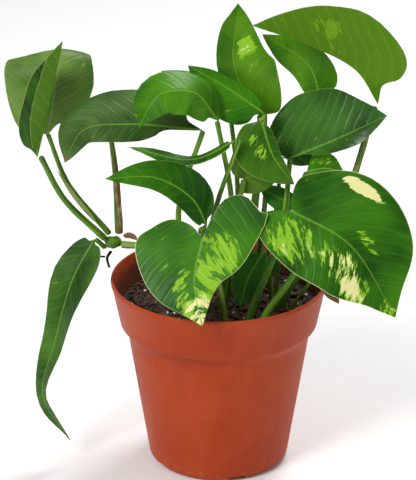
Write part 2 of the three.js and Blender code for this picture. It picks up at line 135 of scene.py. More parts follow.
class Graph:
    """A material's nodes, ending in one Principled shader."""

    def __init__(self, name: str) -> None:
        """Starts an empty material of that name."""
        self.material = bpy.data.materials.new(name)
        self.material.use_nodes = True
        self.nodes = self.material.node_tree.nodes
        self.links = self.material.node_tree.links
        self.shader = self.nodes["Principled BSDF"]

    def node(self, kind: str, settings: dict[str, Any], values: dict[Any, Any],
             output: Any = 0) -> Wire:
        """Adds one node.

        Args:
            kind: the node's type.
            settings: its properties, set before its sockets.
            values: what each input socket holds, a number, a colour or a Wire.
            output: the output socket to hand on, by name or number.

        Returns:
            The chosen output as a Wire.
        """
        made = self.nodes.new(kind)
        for key, value in settings.items():
            setattr(made, key, value)
        self.fill(made, values)
        return Wire(self, made.outputs[output])

    def fill(self, made: Any, values: dict[Any, Any]) -> None:
        """Sets a node's input sockets from numbers, colours and Wires."""
        for key, value in values.items():
            socket = made.inputs[key]
            if isinstance(value, Wire):
                self.links.new(value.socket, socket)
            elif isinstance(value, tuple) and socket.type == "RGBA":
                socket.default_value = (*value[:3], 1.0)
            else:
                socket.default_value = value

    def mix(self, share: Any, first: Any, second: Any) -> Wire:
        """Returns the second colour over the first, by share."""
        settings = {"data_type": "RGBA", "clamp_factor": True}
        return self.node("ShaderNodeMix", settings, {0: share, 6: first, 7: second}, 2)

    def parts(self, vector: Wire) -> tuple[Wire, Wire, Wire]:
        """Returns a vector's three numbers."""
        split = self.node("ShaderNodeSeparateXYZ", {}, {0: vector})
        outputs = split.socket.node.outputs
        return Wire(self, outputs[0]), Wire(self, outputs[1]), Wire(self, outputs[2])

    def attribute(self, name: str) -> Wire:
        """Returns a vector stored on the mesh."""
        return self.node("ShaderNodeAttribute", {"attribute_name": name}, {}, "Vector")

    def place(self) -> Wire:
        """Returns the point on the piece, in metres."""
        return self.node("ShaderNodeTexCoord", {}, {}, "Object")

    def join(self, x: Any, y: Any, z: Any = 0.0) -> Wire:
        """Returns a vector of three numbers."""
        return self.node("ShaderNodeCombineXYZ", {}, {0: x, 1: y, 2: z})

    def grain(self, where: Wire, scale: float, detail: float = 3.0, rough: float = 0.55) -> Wire:
        """Returns noise from about 0 to 1 at a place."""
        values = {"Vector": where, "Scale": scale, "Detail": detail, "Roughness": rough}
        return self.node("ShaderNodeTexNoise", {}, values)

    def finish(self, colour: Wire, rough: Any, height: Wire | None, deep: float,
               **fixed: float) -> Any:
        """Wires up the shader.

        Args:
            colour: the base colour.
            rough: the roughness, a number or a Wire.
            height: relief, from 0 to 1, or None.
            deep: how deep the relief is, in millimetres.
            **fixed: values that are the same all over, by socket name with _ for a space.

        Returns:
            The material.
        """
        self.fill(self.shader, {"Base Color": colour, "Roughness": rough})
        self.fill(self.shader, {key.replace("_", " "): value for key, value in fixed.items()})
        if height is not None:
            values = {"Height": height, "Distance": deep * MM, "Strength": 1.0}
            bump = self.node("ShaderNodeBump", {}, values)
            self.fill(self.shader, {"Normal": bump})
        return self.material


# ------------------------------------------------------------------------------ finishes
@dataclass(frozen=True)
class Patch:
    """A variegated area of a blade, in shares of its length and half width (left is below 0)."""

    along: float
    across: float
    long: float
    broad: float
    cream: float = 0.5


class Slot(Enum):
    """The record's material slots."""

    TERRACOTTA = "terracotta"
    MIX = "mix"
    LEAF = "leaf"
    LEAF_DARK = "leaf_dark"
    LEAF_PALE = "leaf_pale"
    STALK = "stalk"
    VINE = "vine"
    HUSK = "husk"
    ROOT = "root"


@dataclass(frozen=True)
class LeafFinish:
    """Waxy leaf skin: veins that sweep to the tip, a midrib, a margin, pale marbling and, on some leaves, a
    painted grey sheen.
    """

    deep: Colour = srgb(20, 68, 6)
    fresh: Colour = srgb(66, 132, 12)
    under: Colour = srgb(98, 142, 34)
    rib: Colour = srgb(118, 168, 44)
    lime: Colour = srgb(148, 202, 44)
    cream: Colour = srgb(236, 232, 160)
    # colour and amount of the painted sheen: a grey-pink reflection painted onto the dull leaves
    painted_sheen_colour: Colour = srgb(140, 138, 112)
    tip: Colour | None = None
    marbling: float = 0.0
    painted_sheen: float = 0.0
    edge: float = 0.15
    gloss: float = 0.32
    shine: float = 0.16
    vein_gap: float = 7.0
    lime_from: float = 1.76
    cream_from: float = 2.06
    patches: tuple[Patch, ...] = ()

    def material(self, name: str, seed: float) -> Any:
        """Makes the material.

        Args:
            name: the material's name.
            seed: shifts the marbling, so that no two leaves match.

        Returns:
            The material.
        """
        g = Graph(name)
        along, across, skin = g.parts(g.attribute("blade"))
        share_x, share_y, reach = g.parts(g.attribute("share"))
        off = abs(across)
        sway = g.grain(g.join(along * 0.06, across * 0.06, seed + 1), 1.0, 1.0)
        phase = along - off * VEIN_SWEEP - off * off * VEIN_BEND + sway * 5
        vein = phase.triangle(self.vein_gap / 2).step(0.66, 1.0)
        streak = g.grain(g.join(phase * 0.24, off * 0.08, share_y.step(-0.01, 0.01) * 9 + seed), 1.0, 4.0)
        fine = g.grain(g.join(phase * 1.7, off * 0.1, seed), 1.0, 2.0)
        broad = g.grain(g.join(along * 0.035, across * 0.035, seed), 1.0, 2.0)
        colour = g.mix((broad * 1.15 + fine * 0.3 - 0.22).step(0.25, 0.75), self.deep, self.fresh)
        colour = g.mix(vein * 0.07, colour, self.rib)
        # painted sheen: mixes the grey-pink reflection colour into the leaf where the noise runs high
        if self.painted_sheen:
            sheen = (fine * 0.6 + broad * 0.6).step(0.4, 0.85) * self.painted_sheen
            colour = g.mix(sheen, colour, self.painted_sheen_colour)
        field_at: Any = self.marbling
        pale: Any = 0.0
        for patch in self.patches:
            dx = (share_x - patch.along) / patch.long
            dy = (share_y - patch.across) / patch.broad
            body = 1.0 - (dx * dx + dy * dy).step(0.1, 1.6)
            field_at = body * 0.4 + field_at
            pale = body * patch.cream + pale
        speck = g.grain(g.join(phase * 0.6, off * 0.3, seed + 5), 1.0, 5.0, 0.7)
        figure = streak * 1.5 + speck * 1.3 + field_at
        limy = figure.step(self.lime_from, self.lime_from + 0.16)
        colour = g.mix(limy * 0.85, colour, self.lime)
        if self.patches:
            creamy = (figure + pale * 0.24).step(self.cream_from, self.cream_from + 0.14)
            colour = g.mix(creamy, colour, self.cream)
        rib = 1.0 - (off / (1.2 - share_x)).step(0.15, 0.8)
        colour = g.mix(rib * 0.6, colour, self.rib)
        colour = g.mix(reach.step(0.985, 0.998) * self.edge, colour, self.cream)
        if self.tip:
            colour = g.mix(share_x.step(0.94, 1.0), colour, self.tip)
        below = g.mix(vein * 0.2 + rib * 0.4, g.mix(fine * 0.5, self.under, self.fresh), self.rib)
        below = g.mix(limy * 0.35, below, self.lime)
        colour = g.mix(skin.step(0.45, 0.55), below, colour)
        rough = (1.0 - skin) * 0.2 + broad * 0.14 + (self.gloss - 0.05)
        height = fine * 0.3 - vein * 0.4 - rib * 0.5 + speck * 0.12
        return g.finish(colour, rough, height, 0.22, Specular_IOR_Level=self.shine)


@dataclass(frozen=True)
class StalkFinish:
    """Smooth green stalk with long pale lines, a darker foot and small scars."""

    green: Colour = srgb(100, 148, 34)
    dark: Colour = srgb(56, 98, 18)
    line: Colour = srgb(160, 184, 78)
    scar: Colour = srgb(120, 84, 50)
    scars: float = 0.3
    rough: float = 0.4

    def material(self, name: str, seed: float) -> Any:
        """Makes the material, its lines shifted by seed."""
        g = Graph(name)
        along, turn, share = g.parts(g.attribute("stem"))
        lines = g.grain(g.join(turn * 5, along * 0.03, seed), 1.0, 3.0)
        blot = g.grain(g.join(turn * 2, along * 0.12, seed + 3), 1.0, 4.0)
        colour = g.mix(lines.step(0.35, 0.65), self.dark, self.green)
        colour = g.mix(lines.step(0.55, 0.75) * 0.6, colour, self.line)
        foot = (1.0 - share.step(0.0, 0.3)) * 0.3
        colour = g.mix((blot + foot - 0.1).step(0.6, 0.75) * self.scars, colour, self.scar)
        height = lines * 0.8 + blot * 0.3
        return g.finish(colour, blot * 0.2 + (self.rough - 0.1), height, 0.15, Specular_IOR_Level=0.25)


@dataclass(frozen=True)
class HuskFinish:
    """Dry papery skin, straw to brown, with long fibres."""

    straw: Colour = srgb(190, 172, 124)
    brown: Colour = srgb(112, 78, 46)
    brownness: float = 0.5

    def material(self, name: str, seed: float) -> Any:
        """Makes the material, its fibres shifted by seed."""
        g = Graph(name)
        along, across, _ = g.parts(g.attribute("blade"))
        fibre = g.grain(g.join(along * 0.12, across * 3.2, seed), 1.0, 4.0)
        blot = g.grain(g.join(along * 0.2, across * 0.5, seed + 2), 1.0, 3.0)
        brown = (fibre * 0.6 + blot * 0.6 + (self.brownness - 0.5)).step(0.45, 0.75)
        return g.finish(g.mix(brown, self.straw, self.brown), fibre * 0.3 + 0.6, fibre, 0.2)


@dataclass(frozen=True)
class BarkFinish:
    """Rough matt skin of a root, a chip of bark or a fibre, between two browns."""

    light: Colour = srgb(66, 40, 26)
    dark: Colour = srgb(22, 12, 8)
    scale: float = 900.0

    def material(self, name: str, seed: float) -> Any:
        """Makes the material, its mottling shifted by seed."""
        g = Graph(name)
        spot = g.place()
        moved = g.node("ShaderNodeVectorMath", {"operation": "ADD"}, {0: spot, 1: (seed, 0, 0)})
        coarse = g.grain(moved, self.scale * 0.25, 4.0, 0.65)
        fine = g.grain(moved, self.scale, 3.0)
        colour = g.mix((coarse * 0.7 + fine * 0.4).step(0.38, 0.75), self.dark, self.light)
        return g.finish(colour, fine * 0.2 + 0.75, coarse * 0.6 + fine * 0.5, 0.5)


@dataclass(frozen=True)
class PerliteFinish:
    """Chalky white volcanic grain with pits and a little soil on it."""

    white: Colour = srgb(226, 218, 204)
    soiled: Colour = srgb(140, 112, 86)

    def material(self, name: str, seed: float) -> Any:
        """Makes the material, its pits shifted by seed."""
        g = Graph(name)
        pits = g.grain(g.place(), 1400.0 + seed, 4.0, 0.7)
        return g.finish(g.mix(pits.step(0.5, 0.7), self.white, self.soiled), 0.9, pits, 0.3)


@dataclass(frozen=True)
class PlasticFinish:
    """Moulded terracotta-coloured plastic: faint flow lines, scuffs, dust, soil inside the rim."""

    base: Colour = srgb(176, 70, 32)
    warm: Colour = srgb(160, 58, 26)
    scuff: Colour = srgb(198, 106, 66)
    soil: Colour = srgb(74, 40, 26)
    inside: float = 0.0485
    soil_line: float = 0.088

    def material(self, name: str, seed: float) -> Any:
        """Makes the material, its marks shifted by seed."""
        g = Graph(name)
        spot = g.place()
        x, y, z = g.parts(spot)
        radius = g.node("ShaderNodeVectorMath", {"operation": "LENGTH"}, {0: g.join(x, y)}, "Value")
        cloud = g.grain(spot, 26.0 + seed, 3.0)
        flow = g.grain(g.join(x * 260, y * 260, z * 16), 1.0, 3.0)
        skin = g.grain(spot, 2600.0, 2.0)
        scratch = g.grain(g.join(x * 90, y * 90, z * 700), 1.0, 2.0)
        colour = g.mix((cloud * 0.7 + flow * 0.3).step(0.3, 0.7), self.base, self.warm)
        colour = g.mix((scratch * 0.5 + cloud * 0.5).step(0.6, 0.75) * 0.2, colour, self.scuff)
        dust = (1.0 - z.step(0.0, 0.012)) * g.grain(spot, 300.0).step(0.4, 0.7)
        colour = g.mix(dust * 0.35, colour, self.scuff)
        slope = z * 0.19 + (self.inside - 0.19 * 0.0745)
        within = (slope - radius).step(-0.0004, 0.0004) * z.step(0.078, 0.080)
        smear = g.grain(spot, 220.0, 4.0) * 0.012 + self.soil_line - z
        colour = g.mix(within * (smear.step(-0.002, 0.006) * 0.75 + 0.15), colour, self.soil)
        rough = cloud * 0.16 + skin * 0.08 + 0.36
        return g.finish(colour, rough, skin * 0.5 + flow * 0.3, 0.05, Specular_IOR_Level=0.14)


# ------------------------------------------------------------------------------ curves and meshes
class SmoothLine:
    """A centripetal Catmull-Rom line, read by share of its length."""

    SAMPLES = 400

    def __init__(self, points: Sequence[Sequence[float]]) -> None:
        """Samples the line through the points."""
        known = np.array(points, float)
        ends = np.vstack([2 * known[0] - known[1], known, 2 * known[-1] - known[-2]])
        spans = len(known) - 1
        t = np.linspace(0, spans, self.SAMPLES * spans + 1)
        at = np.minimum(t.astype(int), spans - 1)
        w = (t - at)[:, None]
        p = [ends[at + k] for k in range(4)]
        gap = [np.sqrt(np.linalg.norm(p[k + 1] - p[k], axis=1))[:, None] for k in range(3)]
        start = self._slope(p[0], p[1], p[2], gap[0], gap[1]) * gap[1]
        stop = self._slope(p[1], p[2], p[3], gap[1], gap[2]) * gap[1]
        cubic = 2 * p[1] - 2 * p[2] + start + stop
        square = -3 * p[1] + 3 * p[2] - 2 * start - stop
        self.points = p[1] + start * w + square * w**2 + cubic * w**3
        steps = np.linalg.norm(np.diff(self.points, axis=0), axis=1)
        self.run = np.concatenate([[0], np.cumsum(steps)])
        self.length = float(self.run[-1])

    @staticmethod
    def _slope(a: Any, b: Any, c: Any, first: Any, second: Any) -> Any:
        """Returns the line's direction at b, from its neighbours and the two spacings."""
        return (b - a) / first - (c - a) / (first + second) + (c - b) / second

    def at(self, share: Any) -> Any:
        """Returns the points at shares of the length."""
        where = np.clip(share, 0, 1) * self.length
        axes = range(self.points.shape[1])
        return np.stack([np.interp(where, self.run, self.points[:, k]) for k in axes], axis=-1)

    def way(self, share: Any) -> Any:
        """Returns the unit directions at shares of the length."""
        share = np.asarray(share, float)
        ahead = self.at(np.minimum(1, share + 0.004)) - self.at(np.maximum(0, share - 0.004))
        return ahead / np.linalg.norm(ahead, axis=-1, keepdims=True)


def unit(vectors: Any) -> Any:
    """Returns the vectors at length 1."""
    return vectors / np.maximum(np.linalg.norm(vectors, axis=-1, keepdims=True), 1e-12)


def towards(azimuth: float, elevation: float) -> Any:
    """Returns a direction, azimuth from -Y towards +X, both in degrees."""
    a, e = math.radians(azimuth), math.radians(elevation)
    return np.array([math.sin(a) * math.cos(e), -math.cos(a) * math.cos(e), math.sin(e)])


def store(mesh: Any, name: str, rows: Any) -> None:
    """Stores a vector for each vertex under a name that materials read."""
    layer = mesh.attributes.new(name, "FLOAT_VECTOR", "POINT")
    layer.data.foreach_set("vector", np.asarray(rows, np.float32).ravel())


def new_piece(name: str, points: Any, faces: Iterable[Sequence[int]], sharp: float = 70.0) -> Any:
    """Makes a smooth-shaded mesh piece.

    Args:
        name: the piece's name.
        points: vertices in millimetres.
        faces: corners of each face, counter-clockwise from outside.
        sharp: edges steeper than this many degrees stay crisp.

    Returns:
        The object, in metres.
    """
    mesh = bpy.data.meshes.new(name)
    mesh.from_pydata((np.asarray(points, float) * MM).tolist(), [], list(faces))
    mesh.validate()
    mesh.shade_smooth()
    mesh.set_sharp_from_angle(angle=math.radians(sharp))
    made = bpy.data.objects.new(name, mesh)
    bpy.context.scene.collection.objects.link(made)
    return made


def settle(piece: Any, node: str, material: Any, seat: bool = True) -> Any:
    """Seats a piece in its solid's box, dresses it and hands it to the frame.

    Args:
        piece: the object.
        node: the solid that it stands for.
        material: its finish.
        seat: whether its box is drawn to the solid's box.

    Returns:
        The object.
    """
    if seat:
        low, high = (np.array(corner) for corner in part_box(node))
        count = len(piece.data.vertices)
        flat = np.empty(count * 3, np.float32)
        piece.data.vertices.foreach_get("co", flat)
        co = flat.reshape(-1, 3)
        size = np.maximum(co.max(0) - co.min(0), 1e-6)
        co = low + (co - co.min(0)) / size * (high - low)
        piece.data.vertices.foreach_set("co", co.astype(np.float32).ravel())
        piece.data.update()
    piece.data.materials.append(material)
    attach(piece, BODY)
    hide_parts(node)
    LOG.info("%s: %d faces for %s", piece.name, len(piece.data.polygons), node)
    return piece


# ------------------------------------------------------------------------------ leaf blades
@dataclass(frozen=True)
class Margin:
    """Half a blade's margin from four proportions.

    lobe is how far it reaches back behind the stalk (below 0 for a wedge-shaped base), wide is
    where it is widest, full is how broad it still is nearly half-way from there to the tip, and
    drip is the share of that left near the tip (small for a drawn-out tip).
    """

    lobe: float = -0.1
    wide: float = 0.38
    full: float = 0.85
    drip: float = 0.45

    def line(self) -> SmoothLine:
        """Returns the margin, from the stalk round the lobe to the tip."""
        rest = 1 - self.wide
        shoulder = 0.45 * self.wide - 0.4 * self.lobe
        return SmoothLine([
            (0, 0), (-0.8 * self.lobe, 0.2), (-self.lobe, 0.55), (shoulder, 0.88), (self.wide, 1),
            (self.wide + 0.45 * rest, self.full), (self.wide + 0.8 * rest, self.drip * self.full), (1, 0),
        ])


WEDGE = Margin()


@dataclass
class Blade:
    """One leaf blade or papery strip: a folded, curled sheet about its midrib."""

    node: str
    spine: Sequence[Point]
    face: Sequence[tuple[float, float]]
    half: tuple[float, float]
    finish: Any
    slot: Slot = Slot.LEAF
    fold: tuple[float, float] = (0, 0)
    curl: tuple[float, float] = (0, 0)
    left: Margin = WEDGE
    right: Margin = WEDGE
    thick: float = 0.5
    relief: float = 0.2
    wave: float = 0.7
    rows: int = 52
    lobe_rows: int = 14
    across: int = 13
    lobe_end: float = 0.1
    line: SmoothLine = field(init=False)

    def __post_init__(self) -> None:
        """Lays out the midrib."""
        self.line = SmoothLine(self.spine)

    def place(self, x: Any, y: Any, side: int) -> tuple[Any, Any]:
        """Puts points of a flat half blade in space.

        Args:
            x: shares along the blade.
            y: shares of the half width.
            side: 0 for the left half, 1 for the right.

        Returns:
            The points and the upper surface's direction at the midrib, in millimetres.
        """
        u = np.clip(x, 0, 1)
        way = self.line.way(u)
        at = self.line.at(u) + way * (np.minimum(x, 0) * self.line.length)[:, None]
        first, last = (towards(*pair) for pair in self.face)
        look = unit(first + (last - first) * u[:, None])
        up = unit(look - way * (look * way).sum(1)[:, None])
        out = np.cross(way, up) * (1 if side else -1)
        fold, width = math.radians(self.fold[side]), self.half[side]
        bend, reach = math.radians(self.curl[side]) / width, y * width
        if abs(bend) < 1e-6:
            level, rise = math.cos(fold) * reach, math.sin(fold) * reach
        else:
            level = (np.sin(fold + bend * reach) - math.sin(fold)) / bend
            rise = (math.cos(fold) - np.cos(fold + bend * reach)) / bend
        return at + out * level[:, None] + up * rise[:, None], up

    def half_grid(self, side: int) -> tuple[Any, int]:
        """Lays out half the blade flat along its vein lines.

        Args:
            side: 0 for the left half, 1 for the right.

        Returns:
            Rows of (along, across, share of the way to the margin), and the first row in use.
        """
        margin = (self.left, self.right)[side]
        edge = margin.line()
        lobed = margin.lobe > 0
        turn = 0.0
        if lobed:
            shares = np.arange(0.02, 0.9, 0.01)
            turn = float(shares[edge.at(shares)[:, 0] < self.lobe_end].max())
        i = np.arange(self.rows + 1)
        q = np.maximum(0, i - self.lobe_rows) / (self.rows - self.lobe_rows)
        t = np.where(i < self.lobe_rows, turn * i / self.lobe_rows, turn + (1 - turn) * q)
        rim = edge.at(t)
        s = np.linspace(0, 1, self.across + 1) ** 0.85
        x = q[:, None] + (rim[:, :1] - q[:, None]) * s
        y = rim[:, 1:2] * s
        return np.stack([x, y, np.broadcast_to(s, x.shape)], axis=-1), (0 if lobed else self.lobe_rows)

    def sheet(self) -> tuple[Any, list[tuple[int, ...]], Any, Any]:
        """Builds the blade's middle surface.

        Returns:
            Its points, faces, and for each point the blade and share vectors for the finish.
        """
        points, blade, share, faces = [], [], [], []
        index: dict[tuple[int, int, int], int] = {}
        for side in (0, 1):
            grid, start = self.half_grid(side)
            flat = grid.reshape(-1, 3)
            spots, up = self.place(flat[:, 0], flat[:, 1], side)
            sign = 1 if side else -1
            along, off = flat[:, 0] * self.line.length, flat[:, 1] * self.half[side]
            gap = getattr(self.finish, "vein_gap", 7.0) / 2
            phase = np.abs((along - off * VEIN_SWEEP - off**2 * VEIN_BEND) % (2 * gap) / gap - 1)
            fade = np.clip(off / 3, 0, 1) * np.clip((1 - flat[:, 0]) * 4, 0, 1)
            ripple = np.sin(along * 0.16 + sign * 1.3 + self.line.length) * flat[:, 2] ** 2
            lift = (phase**0.7 - 0.6) * self.relief * fade + ripple * self.wave * fade
            spots = spots + up * lift[:, None]
            for row in range(start, self.rows + 1):
                for col in range(self.across + 1):
                    k = row * (self.across + 1) + col
                    if col == 0 or row == self.rows or (row == start):
                        key = (max(row, self.lobe_rows), 0, 2)
                    else:
                        key = (row, col, side)
                    if key not in index:
                        index[key] = len(points)
                        points.append(spots[k])
                        blade.append((along[k], off[k] * sign, 0.0))
                        share.append((flat[k, 0], flat[k, 1] * sign, flat[k, 2]))
            for row in range(start, self.rows):
                for col in range(self.across):
                    ring = self._corners(index, row, col, side, start)
                    if len(ring) > 2:
                        faces.append(ring if side else ring[::-1])
        return np.array(points), faces, np.array(blade), np.array(share)

    def _corners(self, index: dict, row: int, col: int, side: int, start: int) -> tuple[int, ...]:
        """Returns one cell's corners with repeats left out."""
        ring: list[int] = []
        for r, c in ((row, col), (row, col + 1), (row + 1, col + 1), (row + 1, col)):
            middle = c == 0 or r in (self.rows, start)
            spot = index[(max(r, self.lobe_rows), 0, 2) if middle else (r, c, side)]
            if spot not in ring:
                ring.append(spot)
        return tuple(ring)

    def build(self, name: str) -> Any:
        """Gives the sheet its thickness.

        Args:
            name: the piece's name.

        Returns:
            The object, closed all round.
        """
        points, faces, blade, share = self.sheet()
        normals = np.zeros_like(points)
        for ring in faces:
            a, b, c = points[ring[0]], points[ring[1]], points[ring[2]]
            normals[list(ring)] += np.cross(b - a, c - a)
        normals = unit(normals)
        count = len(points)
        thin = 1 - 0.5 * share[:, 2:3] ** 4
        body = np.vstack([points + normals * thin * self.thick / 2,
                          points - normals * thin * self.thick / 2])
        closed = list(faces) + [tuple(k + count for k in ring[::-1]) for ring in faces]
        edges = {(ring[k], ring[(k + 1) % len(ring)]) for ring in faces for k in range(len(ring))}
        for a, b in sorted(edges):
            if (b, a) not in edges:
                closed.append((b, a, a + count, b + count))
        made = new_piece(name, body, closed)
        skins = np.vstack([blade, blade])
        skins[:count, 2] = 1.0
        store(made.data, "blade", skins)
        store(made.data, "share", np.vstack([share, share]))
        return made

    def dress(self, seed: float) -> Any:
        """Builds, seats and dresses the piece, its marbling shifted by seed."""
        name = self.node.replace("leaf", "blade") if "leaf" in self.node else self.node + "_skin"
        material = self.finish.material(f"{name}_finish", seed)
        return settle(self.build(name), self.node, material)


# ------------------------------------------------------------------------------ stalks and roots
@dataclass
class Stem:
    """A round stalk, stem or root along a smooth line."""

    node: str
    path: Sequence[Sequence[float]]
    radius: tuple[float, float]
    finish: Any
    slot: Slot = Slot.STALK
    sides: int = 14
    pitch: float = 2.0
    knuckle: float = 0.16
    groove: float = 0.12
    wander: float = 0.06

    def build(self, name: str) -> Any:
        """Sweeps the stalk, thicker at its joints, grooved, with domed ends.

        Args:
            name: the piece's name.

        Returns:
            The object.
        """
        line = SmoothLine(self.path)
        count = max(6, round(line.length / self.pitch))
        dome = np.array([0.0, 0.25, 0.6])
        first, last = self.radius
        inner = np.linspace(1 / count, 1 - 1 / count, count - 1)
        start_cap = dome * first * 0.6 / line.length
        end_cap = dome * last * 0.6 / line.length
        share = np.concatenate([start_cap, inner, 1 - end_cap[::-1]])
        cap = np.concatenate([[0.45, 0.8, 0.95], np.ones(len(inner)), [0.95, 0.8, 0.45]])
        way = line.way(share)
        side = unit(np.cross(way[0], (0.3, -0.9, 0.2)))
        points, stem = [], []
        spots = line.at(share)
        for k, u in enumerate(share):
            side = unit(side - way[k] * float(side @ way[k]))
            over = np.cross(way[k], side)
            swell = 1 + self.knuckle * math.exp(-((1 - u) * line.length / 3.5) ** 2)
            base = (first + (last - first) * u) * cap[k] * swell
            for j in range(self.sides):
                turn = 2 * math.pi * j / self.sides
                dent = 1 - self.groove * max(0.0, math.cos(turn)) ** 6
                bump = 1 + self.wander * noise.noise(Vector((u * line.length * 0.2, j * 0.6, first)))
                reach = base * dent * bump
                points.append(spots[k] + (side * math.cos(turn) + over * math.sin(turn)) * reach)
                stem.append((u * line.length, 0.5 - abs(j / self.sides - 0.5), u))
        faces = []
        for k in range(len(share) - 1):
            for j in range(self.sides):
                a, b = k * self.sides + j, k * self.sides + (j + 1) % self.sides
                faces.append((a, b, b + self.sides, a + self.sides))
        last_ring = (len(share) - 1) * self.sides
        faces.append(tuple(range(self.sides))[::-1])
        faces.append(tuple(last_ring + j for j in range(self.sides)))
        made = new_piece(name, points, faces, 50)
        store(made.data, "stem", stem)
        return made

    def dress(self, seed: float) -> Any:
        """Builds, seats and dresses the piece, its lines shifted by seed."""
        name = self.node.replace("stalk", "petiole") if "stalk" in self.node else self.node + "_skin"
        material = self.finish.material(f"{name}_finish", seed)
        return settle(self.build(name), self.node, material)


@dataclass
class Knot:
    """A swollen joint where stalks spring from the stem, with rings of old scars."""

    node: str
    finish: StalkFinish
    rings: int = 22
    sides: int = 26

    def dress(self, seed: float) -> Any:
        """Builds, seats and dresses the joint.

        Args:
            seed: shifts its lumps and marks.

        Returns:
            The object.
        """
        low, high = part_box(self.node)
        middle, size = (low + high) / 2 / MM, (high - low) / 2 / MM
        points, stem = [(0, 0, -1.0)], [(0, 0, 0.5)]
        for k in range(1, self.rings):
            tilt = math.pi * k / self.rings
            scar = 1 - 0.07 * max(0.0, math.cos(k * 1.9)) ** 3
            for j in range(self.sides):
                turn = 2 * math.pi * j / self.sides
                spot = Vector((math.sin(tilt) * math.cos(turn), math.sin(tilt) * math.sin(turn),
                               -math.cos(tilt)))
                lump = scar * (1 + 0.16 * noise.noise(spot * 2.2 + Vector((seed, 0, 0))))
                points.append(tuple(spot * lump))
                stem.append((k * 0.6, j / self.sides, 0.2))
        points.append((0, 0, 1.0))
        stem.append((0, 0, 0.5))
        faces = []
        for j in range(self.sides):
            n = (j + 1) % self.sides
            faces.append((0, 1 + n, 1 + j))
            top = 1 + (self.rings - 2) * self.sides
            faces.append((len(points) - 1, top + j, top + n))
            for k in range(self.rings - 2):
                a, b = 1 + k * self.sides + j, 1 + k * self.sides + n
                faces.append((a, b, b + self.sides, a + self.sides))
        placed = [[middle[i] + p[i] * size[i] for i in range(3)] for p in points]
        made = new_piece(self.node + "_knot", placed, faces)
        store(made.data, "stem", stem)
        return settle(made, self.node, self.finish.material(made.name + "_finish", seed))


